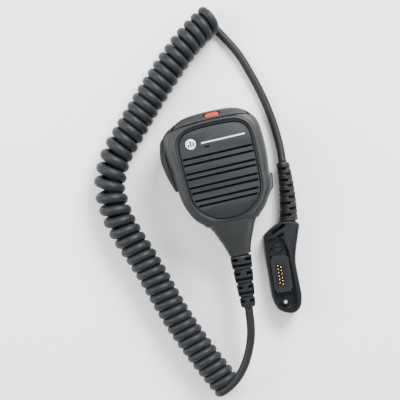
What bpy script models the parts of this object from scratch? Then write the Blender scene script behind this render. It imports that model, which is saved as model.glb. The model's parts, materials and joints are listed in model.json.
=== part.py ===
"""Hand microphone on a curly cord, lying face up on its garment clip.

Every length is in millimetres and is scaled to metres as a mesh is made. +X is the handset's
right, +Y its top and +Z its face. The origin is on the surface it lies on, under the swivel
of the clip.
"""

import math

import bmesh
import bpy
from mathutils import Euler, Matrix, Vector

MM = 0.001
GAP = 0.3

# Handset, heights above the resting surface
BACK_Z = 9.0
SPLIT_Z = 21.0
PANEL_Z = 32.2
RIDGE_Z = 34.2
WALL = 2.2
RIM = 0.6
SEAL_THICK = 0.6
CABLE_Z = 17.2
OUTLINE_STEPS = 2

# Right half of the handset's outline and of its grille panel, from the top centre down.
# Point n of one faces point n of the other.
BODY_HALF = [(0, 31.0), (10, 30.6), (16.5, 29.3), (21.6, 26.4), (25.1, 22.4), (27.1, 17.6),
             (27.8, 8), (27.7, 0), (26.6, -10), (25.0, -19), (21.5, -26.9), (17.2, -31.6),
             (12.8, -34.5), (0, -34.5)]
PANEL_HALF = [(0, 22.4), (9, 22.1), (14.5, 21.2), (18.3, 19.0), (20.2, 16.0), (20.9, 12.0),
              (21.0, 5), (20.9, -2), (20.5, -10), (19.7, -17.8), (16.9, -23.6), (12.9, -27.3),
              (8.2, -30.0), (0, -31.3)]

# Grille: each slot's Y and half length
SLOTS = [(6.5, 19.6), (3.1, 19.6), (-2.0, 19.5), (-5.1, 19.4), (-10.0, 19.0), (-13.3, 18.7),
         (-17.8, 17.8), (-21.0, 16.6)]
SLOT_WIDTH = 1.0
VOICE_PORT = (-4.8, 11.2)
BADGE_AT = (-13.6, 14.4)
BADGE_RADIUS = 3.0

# Push-to-talk key: (Y, outer X) along the left side
KEY_OUTER = [(21.0, -27.4), (18.5, -30.8), (9.9, -32.5), (1.1, -31.4), (-6.0, -29.4),
             (-10.0, -28.0)]
KEY_Z = 21.0
KEY_HEIGHT = 14.0
KEY_TRAVEL = 1.2

# Emergency button, on the slope of the top cap
EMERGENCY_AT = (1.7, 28.7, 30.3)
EMERGENCY_TILT = -55.0
EMERGENCY_SIZE = (8.3, 5.2)

# Jack and its cover, low on the right side
JACK_AT = (25.8, -15.5, 16.6)
JACK_TURN = -10.0
COVER_HINGE = (0.5, 4.9, 0.0)

# Speaker
SPEAKER_AT = (0.0, -8.0)
SPEAKER_RADIUS = 17.5

# Case screws, and the swivel clip behind
SCREWS_AT = [(19.6, 20.4), (-19.6, 20.4), (16.5, -25.0), (-16.5, -25.0)]
PIN_Y = 12.0
PIN_Z = 4.4
PIN_RADIUS = 0.9
JAW_THICK = 2.2

# Neck and strain relief: (Y, half width, half height, centre Z)
NECK = [(-34.8, 13.4, 11.4, 21.0), (-38.0, 11.6, 10.6, 20.5), (-41.5, 10.2, 9.8, 20.0),
        (-45.5, 8.5, 8.6, 19.2), (-49.5, 7.1, 7.4, 18.5), (-53.0, 6.3, 6.6, 18.0)]
RELIEF_START = (0.0, -53.8, 18.0)
RELIEF_END = (-2.1, -83.2, 17.2)
RELIEF_SEGMENTS = 4

# Cord
CORD_DIAMETER = 4.8
COIL_DIAMETER = 17.4
TAIL_ROUTE = [(-2.1, -83.6, 17.2), (-3.4, -96.9, 16.0), (-4.8, -101.8, 15.4),
              (-7.5, -108.6, 14.8), (-10.4, -114.2, 14.6), (-14.2, -119.4, 14.6),
              (-18.0, -123.3, 14.8), (-22.2, -126.6, 15.0), (-27.2, -128.0, 15.0)]
COIL_ROUTE = [(13.2, 83.4), (-4.4, 71.5), (-24.8, 52.6), (-44.8, 31.9), (-57.5, 17.7),
              (-64.4, 3.3), (-65.1, -4.2), (-63.8, -17.9), (-60.5, -29.6), (-56.6, -39.8),
              (-51.5, -55.1), (-44.2, -79.1), (-35.3, -101.9), (-25.2, -123.7)]
LEAD_ROUTE = [(17.9, 74.6, 2.6), (20.2, 70.6, 2.5), (24.0, 64.1, 2.5), (27.1, 56.9, 2.5),
              (29.4, 49.0, 2.5), (32.1, 40.1, 2.5), (35.2, 25.3, 2.6), (36.5, 13.7, 3.2),
              (36.9, 2.3, 4.8), (36.2, -6.2, 6.2)]

# Plug: its own frame has +Y along the head, and its origin at the middle of the pins
PLUG_AT = (20.0, -70.1, 0.0)
PLUG_TURN = -4.55
PLUG_TOP = 13.0
PLUG_SPLIT = 5.6
PLUG_OUTLINE = [(-5.5, 24.6), (-6.7, 20.9), (-7.1, 12.0), (-6.8, 0.8), (-6.7, -9.2),
                (-6.2, -13.7), (-4.2, -19.0), (-0.7, -21.7), (3.5, -22.9), (7.0, -21.9),
                (9.5, -18.9), (10.6, -13.8), (10.6, -8.8), (10.2, -1.6), (10.1, 6.8),
                (11.7, 14.8), (13.8, 22.2), (14.6, 28.6), (4.5, 30.4)]
PLUG_RELIEF_START = (36.1, -6.9, 6.4)
PLUG_RELIEF_END = (31.95, -40.5, 6.6)
BLOCK_X = (-4.2, 5.8)
BLOCK_Y = (-9.6, 11.2)
PIN_COLUMNS = ((-0.85, 5.5), (0.85, 4.5))
CONTACT_PITCH = 2.0
ANTENNA_AT = (0.9, 16.0)
THUMBSCREW_AT = (0.8, -16.0)


def clear_scene():
    for item in list(bpy.data.objects):
        bpy.data.objects.remove(item, do_unlink=True)


def material(name, colour, roughness, metallic=0.0):
    made = bpy.data.materials.new(name)
    made.use_nodes = True
    shader = made.node_tree.nodes["Principled BSDF"]
    shader.inputs["Base Color"].default_value = (*colour, 1.0)
    shader.inputs["Roughness"].default_value = roughness
    shader.inputs["Metallic"].default_value = metallic
    return made


def add_object(name, mesh, look=None, parent=None, cutter=False):
    item = bpy.data.objects.new(name, mesh)
    if look:
        mesh.materials.append(look)
    (CUTTERS if cutter else PARTS).objects.link(item)
    if cutter:
        item.hide_render = True
        item.display_type = "WIRE"
    if parent:
        item.parent = parent
    return item


def add_empty(name, location, turn=0.0, tilt=0.0, parent=None):
    """A frame of reference at a place in millimetres, tilted about X and turned about Z."""
    item = bpy.data.objects.new(name, None)
    item.location = Vector(location) * MM
    item.rotation_euler = Euler((math.radians(tilt), 0.0, math.radians(turn)))
    item.parent = parent
    PARTS.objects.link(item)
    return item


def put_on_axis(name, location, *items):
    """Parents pieces to an empty on their joint's axis, and leaves them where they are."""
    pivot = add_empty(name, location)
    for item in items:
        item.parent = pivot
        item.matrix_parent_inverse = Matrix.Translation(-pivot.location)


def finish_mesh(name, bm):
    bmesh.ops.recalc_face_normals(bm, faces=bm.faces[:])
    mesh = bpy.data.meshes.new(name)
    bm.to_mesh(mesh)
    bm.free()
    mesh.shade_smooth()
    mesh.set_sharp_from_angle(angle=math.radians(32))
    return mesh


def loft(name, rings, look=None, closed=False, **place):
    """Skin through rings of equally many points. A closed loft joins its last ring to its first."""
    bm = bmesh.new()
    loops = [[bm.verts.new(Vector(point) * MM) for point in ring] for ring in rings]
    count = len(rings[0])
    pairs = list(zip(loops, loops[1:]))
    if closed:
        pairs.append((loops[-1], loops[0]))
    for lower, upper in pairs:
        for i in range(count):
            j = (i + 1) % count
            bm.faces.new((lower[i], lower[j], upper[j], upper[i]))
    if not closed:
        bm.faces.new(loops[0])
        bm.faces.new(list(reversed(loops[-1])))
    return add_object(name, finish_mesh(name, bm), look, **place)


def box(name, low, high, look=None, rounding=0.0, **place):
    """A block between two corners."""
    bm = bmesh.new()
    bmesh.ops.create_cube(bm, size=1.0)
    size = Vector(high) - Vector(low)
    middle = (Vector(high) + Vector(low)) / 2
    bmesh.ops.scale(bm, vec=size * MM, verts=bm.verts)
    bmesh.ops.translate(bm, vec=middle * MM, verts=bm.verts)
    item = add_object(name, finish_mesh(name, bm), look, **place)
    if rounding:
        bevel = item.modifiers.new("rounding", "BEVEL")
        bevel.width = rounding * MM
        bevel.segments = 2
    return item


def cylinder(name, centre, radius, low, high, look=None, axis="Z", sides=20, **place):
    """A round bar whose ends are at low and high along its axis."""
    bm = bmesh.new()
    bmesh.ops.create_cone(
        bm, cap_ends=True, segments=sides, radius1=radius * MM, radius2=radius * MM,
        depth=(high - low) * MM)
    bmesh.ops.translate(bm, vec=(0, 0, (low + high) / 2 * MM), verts=bm.verts)
    turns = {"X": Matrix.Rotation(math.pi / 2, 3, "Y"), "Y": Matrix.Rotation(-math.pi / 2, 3, "X"),
             "Z": Matrix.Identity(3)}
    bmesh.ops.rotate(bm, cent=(0, 0, 0), matrix=turns[axis], verts=bm.verts)
    bmesh.ops.translate(bm, vec=Vector(centre) * MM, verts=bm.verts)
    return add_object(name, finish_mesh(name, bm), look, **place)


def turned(name, profile, look, centre=(0, 0, 0), direction=None, sides=24, closed=False, **place):
    """A profile of (radius, height) points, outer side from the top down, swept round Z."""
    mesh = bpy.data.meshes.new(name)
    edges = [(i, i + 1) for i in range(len(profile) - 1)]
    if closed:
        edges.append((len(profile) - 1, 0))
    mesh.from_pydata([(radius * MM, 0, height * MM) for radius, height in profile], edges, [])
    item = add_object(name, mesh, look, **place)
    item.location = Vector(centre) * MM
    if direction:
        item.rotation_mode = "QUATERNION"
        item.rotation_quaternion = Vector(direction).to_track_quat("Z", "Y")
    screw = item.modifiers.new("turn", "SCREW")
    screw.steps = sides
    screw.render_steps = sides
    screw.use_merge_vertices = True
    screw.merge_threshold = 0.00001
    return item


def combine(item, other, operation):
    boolean = item.modifiers.new(operation.lower(), "BOOLEAN")
    boolean.object = other
    boolean.operation = operation
    boolean.solver = "EXACT"
    return item


def cut(item, *cutters):
    for cutter in cutters:
        combine(item, cutter, "DIFFERENCE")
    return item


def join(item, *others):
    for other in others:
        combine(item, other, "UNION")
    return item


def smooth_points(points, steps, closed=False):
    """Points of a Catmull-Rom curve through the given ones, with steps to each span."""
    found = []
    count = len(points)
    spans = count if closed else count - 1
    for i in range(spans):
        near = []
        for k in (i - 1, i, i + 1, i + 2):
            near.append(Vector(points[k % count if closed else min(max(k, 0), count - 1)]))
        a, b, c, d = near
        for step in range(steps):
            t = step / steps
            found.append(0.5 * (2 * b + (c - a) * t + (2 * a - 5 * b + 4 * c - d) * t * t
                                + (3 * b - a - 3 * c + d) * t * t * t))
    if not closed:
        found.append(Vector(points[-1]))
    return found


def evenly(points, spacing):
    """Points at equal distances along a smooth curve through the given ones."""
    fine = smooth_points(points, 12)
    lengths = [0.0]
    for a, b in zip(fine, fine[1:]):
        lengths.append(lengths[-1] + (b - a).length)
    count = max(2, round(lengths[-1] / spacing))
    found = []
    i = 0
    for step in range(count + 1):
        target = lengths[-1] * step / count
        while i < len(fine) - 2 and lengths[i + 1] < target:
            i += 1
        share = (target - lengths[i]) / (lengths[i + 1] - lengths[i])
        found.append(fine[i].lerp(fine[i + 1], min(share, 1.0)))
    return found


def mirrored(half):
    """A closed outline from its right half."""
    left = [(-x, y) for x, y in reversed(half[1:-1])]
    return [tuple(point) for point in smooth_points(half + left, OUTLINE_STEPS, closed=True)]


def inset(outline, distance):
    """An outline moved inwards along its normals."""
    moved = []
    count = len(outline)
    for i, (x, y) in enumerate(outline):
        along = Vector(outline[(i + 1) % count]) - Vector(outline[i - 1])
        along.normalize()
        moved.append((x + along.y * distance, y - along.x * distance))
    return moved


def blend(first, second, share):
    return [tuple(Vector(a).lerp(Vector(b), share)) for a, b in zip(first, second)]


def at_height(outline, z):
    return [(x, y, z) for x, y in outline]


def tube(name, points, diameter, look, resolution=2):
    """A round bar along points, with flat ends."""
    curve = bpy.data.curves.new(name, "CURVE")
    curve.dimensions = "3D"
    curve.bevel_depth = diameter / 2 * MM
    curve.bevel_resolution = resolution
    curve.use_fill_caps = True
    spline = curve.splines.new("POLY")
    spline.points.add(len(points) - 1)
    for spot, point in zip(spline.points, points):
        spot.co = (*(Vector(point) * MM), 1.0)
    return add_object(name, curve, look)


def superellipse(y, half_width, half_height, centre_z, x=0.0, sides=28, power=2.6):
    ring = []
    for i in range(sides):
        angle = 2 * math.pi * i / sides
        c, s = math.cos(angle), math.sin(angle)
        ring.append((x + half_width * math.copysign(abs(c) ** (2 / power), c), y,
                     centre_z + half_height * math.copysign(abs(s) ** (2 / power), s)))
    return ring


def cutting_prism(name, outline, low, high):
    return loft(name, [at_height(outline, low), at_height(outline, high)], cutter=True)


def make_handset_shells():
    body = mirrored(BODY_HALF)
    panel = mirrored(PANEL_HALF)
    inner = inset(body, WALL)
    ledge = inset(panel, 1.6)

    crown = [(0.0, SPLIT_Z + RIM), (0.0, 27.0), (0.06, 29.2), (0.18, 31.2), (0.36, 32.6),
             (0.60, 33.3), (0.72, RIDGE_Z), (0.86, RIDGE_Z), (0.97, PANEL_Z + 0.3)]
    rings = [at_height(blend(body, panel, share), z) for share, z in crown]
    rings.append(at_height(panel, PANEL_Z - 2.6))
    rings.append(at_height(ledge, PANEL_Z - 2.6))
    rings.append(at_height(ledge, 28.2))
    rings.append(at_height(inner, 27.2))
    rings.append(at_height(inner, SPLIT_Z + RIM))
    front = loft("front_housing", rings, DARK_SHELL, closed=True)

    cap_area = [(-40, 60), (-40, 22.9), (-23, 23.6), (-16, 25.0), (0, 25.6), (16, 25.0),
                (23, 23.6), (40, 22.9), (40, 60)]
    cap_cutter = cutting_prism("cap_cutter", cap_area, SPLIT_Z - 5, 45)
    cap_area_inner = [(x, y + (GAP if y < 40 else 0)) for x, y in cap_area]
    cap_keeper = cutting_prism("cap_keeper", cap_area_inner, SPLIT_Z - 5, 45)

    slope = [(0.0, SPLIT_Z + RIM), (0.0, 24.5), (0.06, 27.0), (0.22, 29.6), (0.40, 31.5),
             (0.64, 33.0)]
    cap = loft("top_cap", [at_height(blend(body, panel, share), z) for share, z in slope],
               DARK_SHELL)
    hollow = [(0.0, SPLIT_Z - 1), (0.0, 23.5), (0.12, 26.0), (0.3, 28.4), (0.5, 30.0)]
    cap_hollow = loft("cap_hollow", [at_height(blend(inner, panel, share), z)
                                     for share, z in hollow], cutter=True)
    cut(cap, cap_hollow)
    combine(cap, cap_keeper, "INTERSECT")

    rear = loft("rear_housing", [
        at_height(inset(body, 2.8), BACK_Z), at_height(inset(body, 0.9), BACK_Z + 0.8),
        at_height(body, BACK_Z + 2.8), at_height(body, SPLIT_Z - RIM),
        at_height(inner, SPLIT_Z - RIM), at_height(inset(body, WALL + 0.4), BACK_Z + 2.4),
    ], DARK_SHELL)

    low, high = SPLIT_Z - SEAL_THICK / 2, SPLIT_Z + SEAL_THICK / 2
    near_face, far_face = inset(body, 0.5), inset(body, WALL - 0.3)
    seal_rings = [at_height(near_face, low), at_height(near_face, high),
                  at_height(far_face, high), at_height(far_face, low)]
    seal = loft("perimeter_seal", seal_rings, SEAL_RUBBER, closed=True)

    for number, (x, y) in enumerate(SCREWS_AT, start=1):
        front_boss = cylinder(f"front_boss_{number}", (x, y, 0), 2.9, SPLIT_Z + RIM, 28.5,
                              sides=16, cutter=True)
        rear_boss = cylinder(f"rear_boss_{number}", (x, y, 0), 2.9, BACK_Z + 1.5, SPLIT_Z - RIM,
                             sides=16, cutter=True)
        clearance = cylinder(f"screw_way_{number}", (x, y, 0), 1.5, BACK_Z - 2, 26.0, sides=12,
                             cutter=True)
        counterbore = cylinder(f"counterbore_{number}", (x, y, 0), 2.4, BACK_Z - 2, BACK_Z + 1.9,
                               sides=16, cutter=True)
        join(front, front_boss)
        join(rear, rear_boss)
        cut(front, clearance)
        cut(rear, clearance, counterbore)
        turned(f"case_screw_{number}",
               [(0, 25.0), (1.1, 25.0), (1.1, 10.6), (2.0, 10.6), (2.0, 9.3), (0, 9.3)],
               STEEL, centre=(x, y, 0), sides=12)
    cut(front, cap_cutter)

    key_way = box("key_way", (-35, -10.6, KEY_Z - KEY_HEIGHT / 2 - 0.5),
                  (-23.2, 21.5, KEY_Z + KEY_HEIGHT / 2 + 0.5), cutter=True)
    cut(front, key_way)
    cut(rear, key_way)
    cut(cap, key_way)
    cut(seal, key_way)
    cable_way = cylinder("cable_way", (0, 0, CABLE_Z), 2.9, -40, -30, axis="Y", sides=16,
                         cutter=True)
    cut(rear, cable_way)

    frame = add_empty("jack_frame", JACK_AT, turn=JACK_TURN)
    jack_way = cylinder("jack_way", (0, 0, 0), 3.1, -6, 6, axis="X", sides=16, parent=frame,
                        cutter=True)
    cut(rear, jack_way)

    emergency_frame = add_empty("emergency_frame", EMERGENCY_AT, tilt=EMERGENCY_TILT)
    button_way = loft("button_way", [oblong(EMERGENCY_SIZE, 0.4, -5.6),
                                     oblong(EMERGENCY_SIZE, 0.4, 6.0)],
                      cutter=True, parent=emergency_frame)
    stem_way = cylinder("stem_way", (0, 0, 0), 1.9, -9.5, -3.0, sides=16, cutter=True,
                        parent=emergency_frame)
    cut(cap, button_way)
    cut(front, button_way, stem_way)

    swivel_way = cylinder("swivel_way", (0, 0, 0), 4.4, BACK_Z - 1, BACK_Z + 4, sides=20,
                          cutter=True)
    cut(rear, swivel_way)
    return body, panel, frame, emergency_frame


def oblong(size, grow, z, arc_steps=6):
    """A slot-shaped ring: two half circles joined by straight sides."""
    length, width = size
    radius = width / 2 + grow
    reach = (length - width) / 2
    ring = []
    for side in (1, -1):
        for step in range(arc_steps + 1):
            angle = math.pi * (step / arc_steps - 0.5)
            ring.append((side * (reach + radius * math.cos(angle)),
                         side * radius * math.sin(angle), z))
    return ring


def make_grille(panel):
    outline = inset(panel, GAP)
    face = loft("grille_panel", [
        at_height(outline, PANEL_Z - 2.3), at_height(outline, PANEL_Z - 0.4),
        at_height(inset(panel, GAP + 0.5), PANEL_Z)], PANEL_PLASTIC)
    for number, (y, half) in enumerate(SLOTS, start=1):
        slot = box(f"slot_{number}", (-half, y - SLOT_WIDTH / 2, 20),
                   (half, y + SLOT_WIDTH / 2, 40), cutter=True)
        cut(face, slot)
    x, y = VOICE_PORT
    cut(face, box("voice_port", (x - 1.5, y - 0.4, 20), (x + 1.5, y + 0.4, 40), cutter=True))
    badge_pocket = cylinder("badge_pocket", (*BADGE_AT, 0), BADGE_RADIUS + GAP, PANEL_Z - 0.9,
                            PANEL_Z + 2, sides=24, cutter=True)
    cut(face, badge_pocket)
    cylinder("name_badge", (*BADGE_AT, 0), BADGE_RADIUS, PANEL_Z - 0.6, PANEL_Z + 0.1, BADGE_WHITE,
             sides=24)
    mesh_outline = inset(panel, 2.0)
    loft("acoustic_mesh", [at_height(mesh_outline, 29.25), at_height(mesh_outline, 29.6)], FABRIC)


def make_speaker():
    x, y = SPEAKER_AT
    reach = SPEAKER_RADIUS
    turned("speaker_basket", [(0, 21.7), (8.2, 21.7), (15.0, 27.2), (15.0, 28.0), (reach, 28.0),
                              (reach, 26.8), (15.8, 26.8), (9.2, 20.9), (0, 20.9)],
           STEEL, centre=(x, y, 0))
    turned("speaker_cone", [(0, 24.6), (5, 24.6), (13.6, 27.6), (13.6, 27.1), (5.4, 24.0),
                            (4.4, 24.0), (4.4, 22.6), (0, 22.6)], CONE_PAPER, centre=(x, y, 0))
    cylinder("speaker_magnet", (x, y, 0), 8.5, 16.6, 20.6, STEEL, sides=24)
    turned("speaker_gasket", [(reach, 28.9), (reach, 28.3), (15.4, 28.3), (15.4, 28.9)],
           SEAL_RUBBER, centre=(x, y, 0), closed=True)
    capsule_x, capsule_y = VOICE_PORT[0], 14.2
    turned("microphone_boot", [(0, 25.4), (3.2, 25.4), (3.2, 28.9), (4.2, 28.9), (4.2, 24.6),
                               (0, 24.6)], SEAL_RUBBER, centre=(capsule_x, capsule_y, 0), sides=20)
    cylinder("microphone_capsule", (capsule_x, capsule_y, 0), 2.9, 25.7, 28.5, ALUMINIUM)


def make_electronics(body, jack_frame, emergency_frame):
    outline = inset(body, 4.2)
    board = loft("circuit_board", [at_height(outline, 14.6), at_height(outline, 16.0)], BOARD_GREEN)
    cut(board, *(cylinder(f"board_notch_{number}", (x, y, 0), 3.3, 10, 20, sides=16, cutter=True)
                 for number, (x, y) in enumerate(SCREWS_AT, start=1)))
    cut(board, box("jack_notch", (-11, -3.3, -5), (6, 3.3, 5), parent=jack_frame, cutter=True))
    box("amplifier_chip", (8.5, 10.5, 16.3), (14.5, 16.5, 17.6), CHIP_BLACK)
    body_box = box("ptt_switch", (-21.2, 2.0, 16.3), (-17.5, 9.0, 22.2), CHIP_BLACK)
    join(body_box, cylinder("ptt_actuator", (0, 5.5, 20.4), 1.3, -21.6, -20.0, axis="X", sides=12,
                            cutter=True))
    box("board_connector", (-4.5, -28.0, 16.3), (4.5, -26.6, 18.6), NYLON_WHITE)
    switch = box("emergency_switch", (-3.0, -2.0, -11.6), (3.0, 2.0, -8.6), CHIP_BLACK,
                 parent=emergency_frame)
    join(switch, box("switch_stand", (0.2, 18.8, 16.3), (3.2, 20.8, 25.0), cutter=True))
    cylinder("audio_jack", (0, 0, 0), 2.8, -10.0, -0.5, BRASS, axis="X", sides=16,
             parent=jack_frame)
    tube("inner_cable", evenly([(0, -52.8, CABLE_Z), (0, -30.8, CABLE_Z)], 8.0), 4.4,
         CORD_RUBBER)


def make_controls(jack_frame, emergency_frame):
    sections = []
    for y, outer in [tuple(point) for point in smooth_points(KEY_OUTER, 2)]:
        middle = (outer - 25.7) / 2
        half = (-25.7 - outer) / 2
        ring = [(x + middle, y, z + KEY_Z) for x, z in key_section(half)]
        sections.append(ring)
    key = loft("ptt_key", sections, KEY_RUBBER)
    plate = box("ptt_plate", (-25.4, -8.6, KEY_Z - 5), (-24.0, 19.5, KEY_Z + 5), CHIP_BLACK)
    put_on_axis("ptt_axis", (-25.7, 5.5, KEY_Z), key, plate)

    button = loft("emergency_button", [
        oblong(EMERGENCY_SIZE, 0.0, -4.0), oblong(EMERGENCY_SIZE, 0.0, -0.3),
        oblong(EMERGENCY_SIZE, -0.5, 0.3)], ORANGE, parent=emergency_frame)
    join(button, cylinder("button_stem", (0, 0, 0), 1.2, -7.3, -3.0, sides=12, cutter=True,
                          parent=emergency_frame))
    hinge = add_empty("jack_cover_hinge", COVER_HINGE, parent=jack_frame)
    box("jack_cover", (0, -10.0, -4.4), (1.5, -0.3, 4.4), KEY_RUBBER, rounding=0.5, parent=hinge)


def key_section(half):
    """The key's cross-section: flat inside, rounded outside. X runs outwards to the left."""
    top = KEY_HEIGHT / 2
    points = [(half, -top), (-half * 0.2, -top), (-half * 0.8, -top * 0.72), (-half, -top * 0.3),
              (-half, top * 0.3), (-half * 0.8, top * 0.72), (-half * 0.2, top), (half, top)]
    return points


def make_clip():
    base = cylinder("clip_base", (0, 0, 0), 13.0, 6.6, BACK_Z - GAP, DARK_SHELL, sides=32)
    post = cylinder("swivel_post", (0, 0, 0), 4.0, 7.0, BACK_Z + 2.4, sides=20, cutter=True)
    join(base, post)
    for side in (-1, 1):
        near, far = sorted((side * 5.6, side * 8.4))
        lug = box(f"base_lug_{side}", (near, PIN_Y - 1.6, PIN_Z), (far, PIN_Y + 1.6, 7.4),
                  cutter=True)
        knuckle = cylinder(f"base_knuckle_{side}", (0, PIN_Y, PIN_Z), 1.6, near, far, axis="X",
                           sides=16, cutter=True)
        bridge = box(f"base_bridge_{side}", (near, 4.0, 6.7), (far, PIN_Y + 1.6, 8.6), cutter=True)
        join(base, bridge, lug, knuckle)
    way = cylinder("pin_way", (0, PIN_Y, PIN_Z), PIN_RADIUS + 0.25, -12, 12, axis="X", sides=16,
                   cutter=True)
    cut(base, way)
    screw_way = cylinder("clip_screw_way", (0, 0, 0), 1.4, 7.6, 14, sides=12, cutter=True)
    cut(base, screw_way)
    turned("swivel_washer", [(6.4, 12.6), (6.4, 11.8), (1.6, 11.8), (1.6, 12.6)], STEEL,
           closed=True)
    turned("clip_screw", [(0, 14.0), (2.6, 14.0), (2.6, 12.9), (1.1, 12.9), (1.1, 7.9), (0, 7.9)],
           STEEL, sides=16)

    jaw_half = [(0, 19.5), (7.0, 19.5), (8.8, 17.5), (9.0, 8.0), (9.0, -19.0), (8.0, -27.5),
                (4.0, -30.8), (0, -31.2)]
    outline = jaw_half + [(-x, y) for x, y in reversed(jaw_half[1:-1])]
    jaw = loft("clip_jaw", [at_height(outline, 0.0), at_height(outline, JAW_THICK)], DARK_SHELL)
    lip = loft("jaw_lip", [
        [(x, y, z) for x, z in ((-6.5, 1.0), (6.5, 1.0), (6.0, 8.6), (-6.0, 8.6))]
        for y in (-28.8, -26.4)], cutter=True)
    join(jaw, lip)
    for side in (-1, 1):
        near, far = sorted((side * 3.0, side * 5.3))
        ear = box(f"jaw_ear_{side}", (near, PIN_Y - 1.6, 1.5), (far, PIN_Y + 1.6, PIN_Z),
                  cutter=True)
        eye = cylinder(f"jaw_eye_{side}", (0, PIN_Y, PIN_Z), 1.6, near, far, axis="X", sides=16,
                       cutter=True)
        join(jaw, ear, eye)
    cut(jaw, way)
    put_on_axis("clip_axis", (0, PIN_Y, PIN_Z), jaw)
    cylinder("hinge_pin", (0, PIN_Y, PIN_Z), PIN_RADIUS, -8.2, 8.2, STEEL, axis="X", sides=16)

    wind = []
    turns, per_turn = 4, 10
    for i in range(turns * per_turn + 1):
        angle = 2 * math.pi * i / per_turn + math.pi
        wind.append((-2.0 + 4.0 * i / (turns * per_turn), PIN_Y + 1.52 * math.sin(angle),
                     PIN_Z + 1.52 * math.cos(angle)))
    wire = [(-2.0, PIN_Y - 7.0, PIN_Z - 1.5), (-2.0, PIN_Y - 3.0, PIN_Z - 1.52)] + wind
    wire += [(2.0, PIN_Y - 3.0, PIN_Z - 1.52), (2.0, PIN_Y - 7.0, PIN_Z - 1.5)]
    tube("clip_spring", wire, 0.5, STEEL, resolution=1)


def ribbed_profile(length, radii, segments, groove_width, groove_depth):
    """A tapered bar cut by grooves, from its far end (height = length) down to 0."""
    start, end = radii
    profile = [(0, length), (end, length)]
    for number in range(segments - 1, 0, -1):
        height = length * number / segments
        radius = end + (start - end) * (1 - number / segments)
        floor = radius - groove_depth
        profile += [(radius, height + groove_width / 2), (floor, height + groove_width / 2),
                    (floor, height - groove_width / 2), (radius, height - groove_width / 2)]
    return profile + [(start, 0), (0, 0)]


def make_cord():
    loft("neck_shroud", [superellipse(*section) for section in NECK], DARK_SHELL)
    neck = bpy.data.objects["neck_shroud"]
    cut(neck, cylinder("neck_bore", (0, 0, CABLE_Z), 2.9, -56, -30, axis="Y", sides=16, cutter=True))

    along = Vector(RELIEF_END) - Vector(RELIEF_START)
    turned("strain_relief", ribbed_profile(along.length, (6.2, 4.2), RELIEF_SEGMENTS, 1.3, 1.3),
           CORD_RUBBER, centre=RELIEF_START, direction=along, sides=20)
    tube("cord_tail", evenly(TAIL_ROUTE, 11.0), CORD_DIAMETER, CORD_RUBBER)
    coil_z = COIL_DIAMETER / 2 + 0.05
    tube("coil_cord", evenly([(x, y, coil_z) for x, y in COIL_ROUTE], 12.0), COIL_DIAMETER,
         CORD_RUBBER, resolution=3)
    tube("cord_lead", evenly(LEAD_ROUTE, 11.0), CORD_DIAMETER, CORD_RUBBER)
    along = Vector(PLUG_RELIEF_END) - Vector(PLUG_RELIEF_START)
    turned("plug_relief", ribbed_profile(along.length, (3.7, 5.3), 8, 1.3, 0.9), CORD_RUBBER,
           centre=PLUG_RELIEF_START, direction=along, sides=20)


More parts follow.
